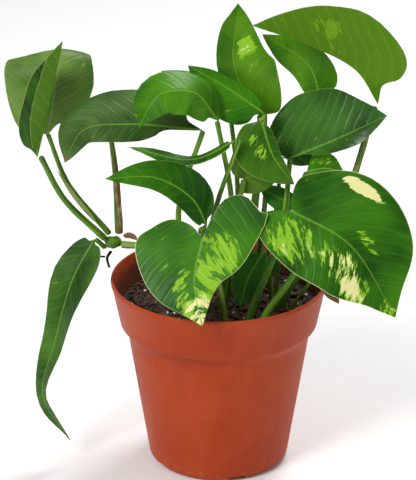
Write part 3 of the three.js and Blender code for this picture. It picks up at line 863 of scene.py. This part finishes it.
# ------------------------------------------------------------------------------ pot and mix
@dataclass
class NurseryPot:
    """Moulded pot with a flared rim band, a step under it and drain notches round the foot."""

    height: float = 97.5
    rim: float = 54.0
    band_foot: float = 49.6
    band: float = 23.0
    waist: float = 45.4
    foot: float = 35.6
    wall: float = 1.3
    notches: int = 5
    first_notch: float = -75.0
    around: int = 192
    finish: PlasticFinish = PlasticFinish()

    def profile(self) -> list[tuple[float, float]]:
        """Returns the wall's outline (radius, height), up the outside and down the inside."""
        step = self.height - self.band
        heel = [(self.foot - 4.6 + 4.6 * math.sin(a), 4.6 - 4.6 * math.cos(a))
                for a in np.linspace(0.15, math.pi / 2, 7)]
        hip = [(self.waist - 0.25, step - 9), (self.waist, step - 5), (self.waist + 0.8, step - 3.4),
               (self.waist + 2.1, step - 1.7), (self.band_foot - 1.0, step - 0.6),
               (self.band_foot - 0.2, step + 0.1), (self.band_foot, step + 0.9)]
        lip = [(self.rim - 0.6, self.height - 3), (self.rim - 0.15, self.height - 2.2),
               (self.rim, self.height - 1.2), (self.rim - 0.2, self.height - 0.3),
               (self.rim - 0.6, self.height), (self.rim - 1.1, self.height - 0.1),
               (self.rim - self.wall - 0.2, self.height - 0.6)]
        inside = [(self.band_foot - self.wall, step + 1.6), (self.waist - self.wall, step - 5),
                  (self.foot - self.wall, 7), (self.foot - 5, 4.2), (0, 4.2)]
        return [(0, 0), (self.foot - 5.2, 0), *heel, *hip, *lip, *inside]

    def lathe(self, name: str, profile: Sequence[tuple[float, float]], around: int) -> Any:
        """Turns an outline round the Z axis.

        Args:
            name: the piece's name.
            profile: (radius, height) in millimetres; it may start and end on the axis.
            around: divisions of the turn.

        Returns:
            The closed object.
        """
        points, rings = [], []
        for radius, z in profile:
            count = 1 if radius == 0 else around
            rings.append([len(points) + j % count for j in range(around)])
            turns = [2 * math.pi * j / around for j in range(count)]
            points += [(radius * math.cos(t), radius * math.sin(t), z) for t in turns]
        faces = []
        pairs = list(zip(rings, rings[1:] if profile[0][0] == 0 else rings[1:] + rings[:1]))
        for low, high in pairs:
            for j in range(around):
                n = (j + 1) % around
                ring = dict.fromkeys((low[j], low[n], high[n], high[j]))
                faces.append(tuple(ring))
        return new_piece(name, points, faces, 35)

    def cut(self, body: Any, cutter: Any) -> None:
        """Takes one solid away from another for good."""
        tool = body.modifiers.new("cut", "BOOLEAN")
        tool.operation, tool.object, tool.solver = "DIFFERENCE", cutter, "EXACT"
        bpy.context.view_layer.update()
        made = bpy.data.meshes.new_from_object(body.evaluated_get(bpy.context.evaluated_depsgraph_get()))
        body.modifiers.clear()
        body.data = made
        bpy.data.objects.remove(cutter)

    def dress(self, seed: float) -> Any:
        """Builds the pot, cuts its channel, notches and holes, and dresses it.

        Args:
            seed: shifts its marks.

        Returns:
            The object.
        """
        pot = self.lathe("nursery_pot", self.profile(), self.around)
        outer = self.foot - 8
        channel = [(14, -1), (outer, -1), (outer - 0.6, 2.6), (14.6, 2.6)]
        self.cut(pot, self.lathe("channel", channel, 96))
        for k in range(self.notches):
            angle = math.radians(self.first_notch + 360 / self.notches * k)
            self.cut(pot, self.block(self.foot - 3.4, angle, (12, 8.4, 5.6)))
            self.cut(pot, self.rod(21, angle + math.pi / self.notches, 2.6))
        pot.data.set_sharp_from_angle(angle=math.radians(35))
        return settle(pot, "pot", self.finish.material("pot_finish", seed))

    def block(self, radius: float, angle: float, size: Point) -> Any:
        """Makes a box cutter at a radius and angle."""
        grid = [(x, y, z) for z in (-1, 1) for x, y in ((-1, -1), (1, -1), (1, 1), (-1, 1))]
        turn = Matrix.Rotation(angle, 3, "Z")
        points = [turn @ Vector((radius + x * size[0] / 2, y * size[1] / 2, z * size[2] / 2))
                  for x, y, z in grid]
        faces = [(3, 2, 1, 0), (4, 5, 6, 7), (0, 1, 5, 4), (1, 2, 6, 5), (2, 3, 7, 6), (3, 0, 4, 7)]
        return new_piece("notch", points, faces)

    def rod(self, radius: float, angle: float, size: float) -> Any:
        """Makes an upright round cutter at a radius and angle."""
        made = self.lathe("hole", [(0, -2), (size, -2), (size, 8), (0, 8)], 28)
        made.data.transform(Matrix.Translation(
            Vector((radius * math.cos(angle), radius * math.sin(angle), 0)) * MM))
        return made


@dataclass
class PottingMix:
    """Dark peaty mix with a lumpy top, chips of bark, fibres and perlite."""

    level: float = 84.0
    mound: float = 3.0
    reach: float = 49.0
    rings: int = 70
    around: int = 150
    crumbs: int = 620
    grains: int = 60
    fibres: int = 90

    def top(self, x: float, y: float) -> float:
        """Returns the height of the mix at a place, in millimetres."""
        r = math.hypot(x, y) / self.reach
        spot = Vector((x, y, 0))
        lumps = 0.9 * noise.noise(spot * 0.12) + 0.7 * noise.noise(spot * 0.38)
        lumps += 0.45 * noise.noise(spot * 0.9)
        return self.level + self.mound * max(0.0, 1 - r * r) + lumps * 1.1

    def dress(self, seed: float) -> list[Any]:
        """Builds and dresses the mix and what lies on it.

        Args:
            seed: shifts its mottling.

        Returns:
            The objects.
        """
        points: list[Point] = [(0, 0, 4.5)]
        rings = [[0] * self.around]
        wall = [(30, 4.5), (34, 7.5), (43.5, 69), (47.6, 76)]
        shape = wall + [(self.reach * (1 - k / self.rings), None) for k in range(self.rings)]
        for radius, z in shape:
            rings.append([len(points) + j for j in range(self.around)])
            for j in range(self.around):
                turn = 2 * math.pi * j / self.around
                x, y = radius * math.cos(turn), radius * math.sin(turn)
                points.append((x, y, self.top(x, y) if z is None else z))
        rings.append([len(points)] * self.around)
        points.append((0, 0, self.top(0, 0)))
        faces = []
        for low, high in zip(rings, rings[1:]):
            for j in range(self.around):
                n = (j + 1) % self.around
                faces.append(tuple(dict.fromkeys((low[j], low[n], high[n], high[j]))))
        body = new_piece("mix_body", points, faces)
        bark = BarkFinish()
        made = [settle(body, "potting_mix", bark.material("mix_finish", seed))]
        chips = BarkFinish(light=srgb(92, 58, 36), dark=srgb(26, 15, 10), scale=1200)
        pale = BarkFinish(light=srgb(170, 122, 78), dark=srgb(96, 60, 34), scale=1500)
        made.append(self.scatter("bark_chips", self.crumbs, self.chip, chips.material("chip_finish", 1)))
        made.append(self.scatter("perlite", self.grains, self.grain,
                                 PerliteFinish().material("perlite_finish", 2)))
        made.append(self.scatter("fibres", self.fibres, self.fibre, pale.material("fibre_finish", 3)))
        return made

    def spot(self, dice: random.Random) -> tuple[float, float, float]:
        """Returns a random place on top of the mix."""
        r = (self.reach - 2.5) * math.sqrt(dice.random())
        turn = dice.uniform(0, 2 * math.pi)
        x, y = r * math.cos(turn), r * math.sin(turn)
        return x, y, self.top(x, y)

    def scatter(self, name: str, count: int, shape: Any, material: Any) -> Any:
        """Strews one kind of bit over the mix as one piece.

        Args:
            name: the piece's name.
            count: how many.
            shape: makes one bit's points and faces from a dice.
            material: its finish.

        Returns:
            The object.
        """
        dice = random.Random(SEED + count)
        points: list[Any] = []
        faces: list[tuple[int, ...]] = []
        for _ in range(count):
            first = len(points)
            bit, rings = shape(dice)
            points += bit
            faces += [tuple(first + k for k in ring) for ring in rings]
        made = new_piece(name, points, faces, 45)
        made.data.materials.append(material)
        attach(made, BODY)
        LOG.info("%s: %d bits", name, count)
        return made

    def lump(self, dice: random.Random, size: Point, rough: float) -> tuple[list, list]:
        """Makes one knobbly bit, half sunk in the mix.

        Args:
            dice: the random source.
            size: half sizes in millimetres.
            rough: how uneven it is.

        Returns:
            Its points and faces.
        """
        ball = bmesh.new()
        bmesh.ops.create_icosphere(ball, subdivisions=2, radius=1)
        turn = Matrix.Rotation(dice.uniform(0, 6.3), 3, "Z") @ Matrix.Rotation(
            dice.uniform(-0.5, 0.5), 3, "X")
        centre = Vector(self.spot(dice)) + Vector((0, 0, size[2] * dice.uniform(0.0, 0.6)))
        shift = Vector((dice.uniform(0, 50), 0, 0))
        points = []
        for v in ball.verts:
            k = 1 + rough * noise.noise(v.co * 1.7 + shift) + rough * 0.5 * noise.noise(v.co * 4 + shift)
            points.append(centre + turn @ Vector([v.co[i] * size[i] * k for i in range(3)]))
        faces = [tuple(v.index for v in f.verts) for f in ball.faces]
        ball.free()
        return points, faces

    def chip(self, dice: random.Random) -> tuple[list, list]:
        """Makes a chip of bark or a crumb of peat."""
        long = dice.choice((0.8, 1.1, 1.5, 2.4))
        return self.lump(dice, (long, dice.uniform(0.6, 1.1), dice.uniform(0.4, 0.8)), 0.6)

    def grain(self, dice: random.Random) -> tuple[list, list]:
        """Makes a grain of perlite."""
        r = dice.uniform(0.45, 0.95)
        return self.lump(dice, (r, r * 0.9, r * 0.8), 0.45)

    def fibre(self, dice: random.Random) -> tuple[list, list]:
        """Makes a thin curved fibre lying on the mix."""
        x, y, _ = self.spot(dice)
        turn, bend = dice.uniform(0, 6.3), dice.uniform(-0.25, 0.25)
        radius, steps, sides = dice.uniform(0.1, 0.2), 9, 5
        points, rings = [], []
        for k in range(steps):
            if math.hypot(x, y) > self.reach - 3:
                x, y = x * 0.97, y * 0.97
            z = self.top(x, y) + radius + 0.35
            rings.append(len(points))
            for j in range(sides):
                a = 2 * math.pi * j / sides
                off = Vector((-math.sin(turn) * math.cos(a), math.cos(turn) * math.cos(a), math.sin(a)))
                points.append(Vector((x, y, z)) + off * radius)
            turn += bend
            x, y = x + math.cos(turn), y + math.sin(turn)
        faces = [tuple(range(sides))[::-1], tuple(rings[-1] + j for j in range(sides))]
        for k in range(steps - 1):
            for j in range(sides):
                a, b = rings[k] + j, rings[k] + (j + 1) % sides
                faces.append((a, b, b + sides, a + sides))
        return points, faces


# ------------------------------------------------------------------------------ the plant
@dataclass
class Foliage:
    """All blades, stalks, stems, sheaths and roots of the plant."""

    gap: float = 0.3
    blade_thick: float = 0.6
    soil: float = 84.0
    mound: float = 3.0
    root_depth: float = 9.0
    bow_at: float = 0.55
    blades: dict[str, Blade] = field(default_factory=dict)

    def add(self, letter: str, **facts: Any) -> None:
        """Adds the blade of that letter."""
        self.blades[letter] = Blade(node=f"leaf_{letter}", **facts)

    def left_leaves(self) -> None:
        """Describes the leaves on the vine that leans over the left of the rim."""
        dull = LeafFinish(deep=srgb(60, 100, 26), fresh=srgb(106, 144, 50), under=srgb(90, 130, 36),
                          painted_sheen=0.22, gloss=0.42, rib=srgb(140, 160, 80))
        self.add("a", spine=[(-84, 8, 170), (-79, 8, 200), (-78, 20, 210), (-82, 44, 188)],
                 face=[(0, 20), (0, 80)], half=(27, 20), fold=(-4, -8), curl=(-14, -40),
                 left=Margin(0, 0.4, 0.85), right=Margin(-0.1, 0.36, 0.8), slot=Slot.LEAF_PALE,
                 finish=dull)
        self.add("b", spine=[(-88, -9, 165), (-82, -11, 190), (-75, -4, 222)],
                 face=[(-90, 5), (-90, 5)], half=(16, 9), fold=(55, 55), left=Margin(-0.04, 0.3, 0.85),
                 right=Margin(-0.1, 0.6, 0.9), slot=Slot.LEAF_PALE,
                 finish=LeafFinish(deep=srgb(28, 60, 12), under=srgb(88, 124, 36), edge=0.6))
        self.add("c", spine=[(-8, -12, 180), (-44, -14, 184), (-65, -17, 182), (-74, -22, 167)],
                 face=[(0, 50), (-50, 50)], half=(10, 23), fold=(-10, 8), curl=(0, -30),
                 left=Margin(-0.3, 0.68, 0.7), right=Margin(-0.12, 0.55, 0.8), slot=Slot.LEAF_DARK,
                 finish=LeafFinish(deep=srgb(20, 58, 6), fresh=srgb(50, 96, 16), painted_sheen=0.22,
                                   tip=srgb(120, 92, 50), gloss=0.3))
        self.add("l", spine=[(-62, 2, 117), (-73, -5, 98), (-82, -12, 68), (-89, -14, 38), (-76, -12, 12)],
                 face=[(-40, 30), (-40, 20)], half=(16, 12), fold=(20, 10), left=Margin(-0.02, 0.12, 0.45),
                 right=Margin(-0.02, 0.18, 0.55), slot=Slot.LEAF_DARK,
                 finish=LeafFinish(deep=srgb(26, 66, 10), fresh=srgb(66, 114, 24), painted_sheen=0.06,
                                   rib=srgb(120, 160, 60)))
        self.add("u", spine=[(-54, 12, 175), (-55, 34, 174), (-56, 56, 165)], face=[(0, 80), (180, 60)],
                 half=(13, 13), slot=Slot.LEAF_DARK, finish=LeafFinish())

    def top_leaves(self) -> None:
        """Describes the leaves at the top and the back."""
        self.add("d", spine=[(0, -16, 186), (-12, -20, 202), (-28, -26, 203), (-38, -29, 188)],
                 face=[(20, 50), (-30, 30)], half=(12, 12), fold=(-14, -14), left=Margin(-0.1, 0.45, 0.85),
                 right=Margin(0, 0.68, 0.9),
                 finish=LeafFinish(deep=srgb(36, 92, 8), fresh=srgb(80, 142, 14), edge=0.0))
        self.add("e", spine=[(5, 2, 191), (-12, 1, 201), (-28, -1, 206)], face=[(0, 60), (0, 60)],
                 half=(5, 5), slot=Slot.LEAF_DARK, finish=LeafFinish())
        self.add("f", spine=[(20, 12, 178), (7, 8, 206), (9, 12, 236)], face=[(-10, 0), (0, 0)],
                 half=(9, 20), fold=(30, 5), curl=(0, -20), left=Margin(-0.2, 0.6, 0.9),
                 right=Margin(0, 0.45, 0.7),
                 finish=LeafFinish(deep=srgb(52, 110, 8), fresh=srgb(98, 152, 20), marbling=0.03,
                                   patches=(Patch(0.7, 0.3, 0.12, 0.2, -0.8),
                                            Patch(0.55, 0.4, 0.2, 0.3, -0.6))))
        self.add("g", spine=[(22, -6, 186), (4, -3, 198), (-15, -1, 209)], face=[(0, 34), (0, 44)],
                 half=(15, 6), fold=(-4, -10), left=Margin(-0.1, 0.4, 0.85),
                 right=Margin(-0.1, 0.42, 0.85),
                 finish=LeafFinish(deep=srgb(22, 84, 6), fresh=srgb(62, 128, 12), edge=0.0))
        self.add("h", spine=[(20, -17, 187), (26, -22, 170), (36, -25, 157)], face=[(-10, 20), (-20, 20)],
                 half=(4, 17), right=Margin(0, 0.42, 0.65),
                 finish=LeafFinish(deep=srgb(26, 72, 4), fresh=srgb(66, 116, 10), edge=0.6,
                                   patches=(Patch(0.35, 0.3, 0.2, 0.25, 0.1),)))
        self.add("p", spine=[(77, 6, 187), (66, 3, 205), (45, 0, 218), (16, -4, 230)],
                 face=[(90, 20), (90, 85)], half=(35, 16), fold=(60, 60), left=Margin(-0.15, 0.46, 0.82),
                 slot=Slot.LEAF_PALE,
                 finish=LeafFinish(deep=srgb(60, 108, 8), fresh=srgb(100, 146, 16), under=srgb(78, 120, 12),
                                   marbling=0.06, patches=(Patch(0.6, -0.45, 0.12, 0.2, -0.3),)))
        self.add("q", spine=[(50, 16, 184), (44, 19, 202), (21, 20, 218)], face=[(0, 0), (0, 20)],
                 half=(9, 11), left=Margin(-0.08, 0.4, 0.9), right=Margin(-0.1, 0.25, 0.75),
                 finish=LeafFinish(deep=srgb(48, 104, 8), fresh=srgb(94, 150, 20), edge=0.1))
        self.add("r", spine=[(34, -8, 164), (58, -14, 177), (80, -18, 190)], face=[(0, 50), (0, 50)],
                 half=(32, 7), left=Margin(0.15, 0.2, 0.85), right=Margin(-0.25, 0.65, 0.7),
                 slot=Slot.LEAF_DARK,
                 finish=LeafFinish(deep=srgb(20, 62, 8), fresh=srgb(52, 108, 20), painted_sheen=0.06, gloss=0.24,
                                   shine=0.25))

    def middle_leaves(self) -> None:
        """Describes the slim and half-hidden leaves in the middle."""
        # Painted shade: t, s and w take these darker greens, which stand in for the shade they sit in, half
        # hidden inside the plant.
        dark = LeafFinish(deep=srgb(24, 66, 20), fresh=srgb(52, 110, 30), gloss=0.28)
        self.add("j", spine=[(9, -24, 180), (-12, -25, 170), (-44, -27, 177)], face=[(0, 68), (0, 62)],
                 half=(4, 3), right=Margin(-0.1, 0.6, 0.9), slot=Slot.LEAF_PALE,
                 finish=LeafFinish(tip=srgb(220, 210, 130), edge=0.9, marbling=0.04))
        self.add("i", spine=[(12, -15, 156), (22, -14, 160), (31, -14, 163)], face=[(180, 0), (180, 0)],
                 half=(10, 12), left=Margin(0.2, 0.25, 0.85), right=Margin(0.2, 0.25, 0.85),
                 slot=Slot.LEAF_PALE, finish=LeafFinish(under=srgb(96, 128, 44)))
        self.add("t", spine=[(38, -8, 138), (28, -6, 143), (20, -4, 147)], face=[(0, 40), (0, 40)],
                 half=(6, 6), slot=Slot.LEAF_DARK, finish=dark)
        self.add("s", spine=[(31, 4, 160), (44, 4, 162), (56, 4, 161)], face=[(0, 58), (0, 58)],
                 half=(7, 7), slot=Slot.LEAF_DARK, finish=dark)
        self.add("v", spine=[(42, -13, 159), (51, -14, 161), (60, -15, 160)], face=[(0, 56), (0, 56)],
                 half=(9, 9), slot=Slot.LEAF_DARK,
                 finish=LeafFinish(deep=srgb(24, 66, 20), patches=(Patch(0.5, -0.5, 0.4, 0.3, 0.5),)))
        self.add("w", spine=[(22, -11, 116), (14, -20, 105), (10, -31, 95)], face=[(0, 40), (0, 40)],
                 half=(7, 8), slot=Slot.LEAF_DARK, finish=dark)
        self.add("x", spine=[(48, -30, 113), (54, -36, 106), (58, -38, 100)], face=[(0, 30), (0, 30)],
                 half=(4, 4), slot=Slot.HUSK, finish=HuskFinish(brownness=0.75))

    def front_leaves(self) -> None:
        """Describes the big marbled leaves at the front."""
        marbled = LeafFinish(deep=srgb(24, 74, 8), fresh=srgb(62, 126, 14), edge=0.8, gloss=0.28,
                             marbling=0.04)
        self.add("m", spine=[(-6, -39, 141), (-13, -40, 155), (-30, -41, 166), (-54, -42, 166)],
                 face=[(40, 30), (-10, 40)], half=(7, 13), fold=(-10, -5), left=Margin(-0.05, 0.3, 0.85),
                 right=Margin(-0.05, 0.32, 0.7), slot=Slot.LEAF_DARK,
                 finish=LeafFinish(deep=srgb(24, 74, 8), fresh=srgb(60, 122, 14), gloss=0.3, edge=0.4,
                                   shine=0.1))
        spots = (Patch(0.1, -0.35, 0.3, 0.4, -1.5), Patch(0.5, -0.25, 0.3, 0.3, -0.8),
                 Patch(0.86, -0.05, 0.24, 0.3, 1.1), Patch(0.65, 0.2, 0.4, 0.14, -0.5),
                 Patch(-0.08, 0.8, 0.1, 0.2, 0.0))
        self.add("k", spine=[(-8, -42, 137), (-12, -54, 120), (-8, -68, 102)], face=[(0, 35), (0, 20)],
                 half=(29, 31), fold=(4, -4), left=Margin(0.56, -0.4, 0.72, 0.34),
                 right=Margin(0.15, 0.22, 0.66, 0.34),
                 finish=replace(marbled, patches=spots))
        spots = (Patch(0.3, -0.8, 0.12, 0.11, 3.0), Patch(0.52, 0.4, 0.26, 0.32, 0.9),
                 Patch(0.1, 0.5, 0.2, 0.45, 0.0), Patch(0.52, -0.22, 0.1, 0.1, 0.0),
                 Patch(0.92, 0.05, 0.08, 0.15, 0.4), Patch(0.72, 0.5, 0.12, 0.2, 0.0))
        self.add("n", spine=[(34, -34, 147), (62, -46, 134), (84, -54, 100)], face=[(0, 40), (20, 20)],
                 half=(33, 27), left=Margin(0.06, 0.36, 0.8, 0.36), right=Margin(0.15, 0.25, 0.9, 0.36),
                 finish=replace(marbled, patches=spots))

    def seat(self, letter: str, radius: float) -> Any:
        """Returns where a stalk of that radius ends under a blade."""
        blade = self.blades[letter]
        flat = np.array([0.0, 0.02, 0.0])
        right = blade.place(flat, np.array([0.0, 0.0, 0.05]), 1)[0]
        left = blade.place(flat, np.array([0.0, 0.0, 0.05]), 0)[0]
        along, across = unit(right[1] - right[0]), unit(right[2] - left[2])
        up = unit(np.cross(across, along))
        return right[0] - along * self.gap - up * (self.blade_thick / 2 + self.gap + radius * 0.9)

    def route(self, start: Sequence[float], end: Any, bow: Point, foot: bool) -> list[Any]:
        """Returns a stalk's points from its foot or start, through its bow, to its end."""
        first = np.array(start, float)
        lead = []
        if foot:
            lead = [np.array([*start[:2], self.soil - self.root_depth])]
            first = np.array([*start[:2], self.soil + self.mound])
        bend = first + (np.asarray(end) - first) * self.bow_at + np.array(bow)
        return [*lead, first, bend, np.asarray(end)]

    def leaf_stalks(self) -> list[Stem]:
        """Returns the leaf stalks: start or foot, radii and bow of each."""
        table: dict[str, tuple[tuple[float, ...], tuple[float, float], Point]] = {
            "a": ((-55, 12, 116), (1.6, 1.1), (-4, 0, -2)), "b": ((-57, 8, 115), (1.8, 1.4), (-3, 1, -3)),
            "u": ((-50, 12, 116), (2.2, 1.2), (1, 0, 0)), "l": ((-57, 6, 111), (1.3, 1), (0, 0, 0)),
            "c": ((-12, -8), (1.9, 1.2), (-10, -3, 0)), "d": ((4, -4), (1.8, 1.2), (5, 0, 0)),
            "e": ((8, 10), (1.6, 1.1), (3, 3, 0)), "f": ((14, 18), (1.8, 1.2), (2, 2, 0)),
            "g": ((18, 6), (1.7, 1.1), (3, 7, 0)), "h": ((10, -8), (1.7, 1.1), (2, 12, 0)),
            "j": ((-5, -14), (1.8, 1), (-6, -3, 0)), "i": ((0, -12), (1.6, 1.2), (0, -6, 0)),
            "t": ((33, 0), (1.5, 1), (4, 0, 0)), "n": ((21, -32), (2.1, 1.4), (12, 5, 0)),
            "p": ((31, -10), (2.3, 1.5), (5, 0, -5)), "q": ((25, 18), (1.7, 1.2), (5, 1, 0)),
            "r": ((14, -32), (2.2, 1.2), (5, 0, 0)), "s": ((22, 12), (1.4, 1), (1, 0, 0)),
            "v": ((28, -4), (1.4, 1), (-3, 14, 0)), "w": ((26, -8), (1.2, 0.9), (1, 0, 0)),
            "x": ((35, -20), (1.1, 0.8), (0, 3, 0)), "k": ((-8, -37, 138), (1.1, 1), (0, 0, 0)),
            "m": ((-8, -37, 138), (1.1, 1), (0, 0, 0)),
        }
        stems = []
        streaked = StalkFinish(scars=0.75, green=srgb(100, 132, 40))
        for letter, (start, radius, bow) in table.items():
            path = self.route(start, self.seat(letter, radius[1]), bow, len(start) == 2)
            finish = streaked if letter in "uwx" else StalkFinish()
            stems.append(Stem(f"stalk_{letter}", path, radius, finish))
        return stems

    def main_stems(self) -> list[Stem]:
        """Returns the middle stem, the vine over the rim and the roots."""
        vine = StalkFinish(green=srgb(126, 152, 66), scars=0.5)
        root = BarkFinish()
        return [
            Stem("stem_mid", self.route((3, -36), (-8, -35, 134.5), (2, 0, 0), True), (2, 1.7), vine,
                 Slot.VINE),
            Stem("vine_left", self.route((-7, -4), (-48.5, 9, 111.5), (0, 0, 10), True), (2, 1.8), vine,
                 Slot.VINE),
            Stem("aerial_root", [(-54, 9, 107.4), (-56, 9, 104), (-55, 8, 99)], (0.8, 0.5), root, Slot.ROOT,
                 sides=9, pitch=0.5, wander=0.3),
            Stem("rootlet", [(-57, 8, 105), (-60, 6, 106)], (0.5, 0.35), root, Slot.ROOT, sides=8,
                 pitch=0.4, wander=0.3),
        ]

    def sheaths(self) -> list[Blade]:
        """Returns the papery strips beside the stalks and the dry scale at the vine's joint."""
        papery = HuskFinish(straw=srgb(150, 168, 92), brown=srgb(98, 116, 50), brownness=0.4)
        table = {
            "sheath_a": ([(-60, 8, 122), (-71, 5, 138), (-80, 5, 153)], (-30, 20), 1.4, papery),
            "sheath_u": ([(-48, 7, 118), (-50, 8, 137), (-52, 9, 158)], (0, 10), 1.2,
                         HuskFinish(brownness=0.6)),
            "sheath_p": ([(65, -5, 152), (70, -3, 167), (74, 0, 181)], (-30, 10), 1.5, papery),
            "dry_scale": ([(-48, 4, 118), (-44, 3, 119), (-40, 1, 117)], (0, 50), 1.7,
                          HuskFinish(brownness=0.85)),
        }
        return [Blade(node, spine, [face, face], (half, half), finish, Slot.HUSK,
                      fold=(-20, -20), thick=0.3, relief=0.1, wave=0.15, across=7)
                for node, (spine, face, half, finish) in table.items()]

    def dress(self) -> None:
        """Builds and dresses the whole plant."""
        self.left_leaves()
        self.top_leaves()
        self.middle_leaves()
        self.front_leaves()
        pieces = [*self.blades.values(), *self.leaf_stalks(), *self.main_stems(), *self.sheaths(),
                  Knot("node_left", StalkFinish(scars=0.8)), Knot("node_mid", StalkFinish(scars=0.6))]
        for k, piece in enumerate(pieces):
            piece.dress(3.7 * (k + 1))


# ------------------------------------------------------------------------------ stage
@dataclass
class Studio:
    """A pale floor, soft lights and the camera."""

    aim: Point = (-5.4, 0, 117.4)
    distance: float = 1190.0
    elevation: float = 23.0
    lens: float = 180.0
    lamps: tuple[tuple[Point, float, float], ...] = (
        ((-750, -900, 1050), 500, 14.0), ((950, -350, 600), 500, 0.6), ((350, 600, 1100), 500, 10.0))

    def floor(self) -> None:
        """Lays a wide floor under the pot."""
        made = new_piece("floor", [(-4000, -4000, 0), (4000, -4000, 0), (4000, 4000, 0), (-4000, 4000, 0)],
                         [(0, 1, 2, 3)])
        g = Graph("floor_finish")
        cloud = g.grain(g.place(), 3.0)
        made.data.materials.append(
            g.finish(g.mix(cloud, srgb(246, 246, 245), srgb(250, 250, 250)), 0.7, None, 0))

    def light(self) -> None:
        """Hangs the lamps and sets the sky."""
        aim = Vector(self.aim) * MM
        for k, (spot, size, power) in enumerate(self.lamps):
            lamp = bpy.data.lights.new(f"lamp_{k}", "AREA")
            lamp.shape, lamp.size, lamp.energy = "SQUARE", size * MM, power
            holder = bpy.data.objects.new(lamp.name, lamp)
            holder.location = Vector(spot) * MM
            holder.rotation_euler = (aim - holder.location).to_track_quat("-Z", "Y").to_euler()
            bpy.context.scene.collection.objects.link(holder)
        world = bpy.data.worlds.new("studio")
        world.use_nodes = True
        world.node_tree.nodes["Background"].inputs["Color"].default_value = (1, 1, 1, 1)
        world.node_tree.nodes["Background"].inputs["Strength"].default_value = 0.38
        bpy.context.scene.world = world
        bpy.context.scene.view_settings.view_transform = "Standard"

    def camera(self) -> None:
        """Stands the camera in front of the plant."""
        made = bpy.data.cameras.new("camera")
        made.lens, made.sensor_width = self.lens, 36.0
        holder = bpy.data.objects.new("camera", made)
        away = -towards(180, self.elevation) * (1, 1, -1)
        holder.location = (Vector(self.aim) + Vector(away) * self.distance) * MM
        look = Vector(self.aim) * MM - holder.location
        holder.rotation_euler = look.to_track_quat("-Z", "Y").to_euler()
        bpy.context.scene.collection.objects.link(holder)
        bpy.context.scene.camera = holder

    def build(self) -> None:
        """Sets up floor, lights and camera."""
        self.floor()
        self.light()
        self.camera()


def main() -> None:
    """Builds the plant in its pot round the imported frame."""
    logging.basicConfig(level=logging.INFO, format="%(name)s: %(message)s")
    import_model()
    NurseryPot().dress(0.0)
    PottingMix().dress(4.0)
    Foliage().dress()
    Studio().build()


if __name__ == "__main__":
    main()
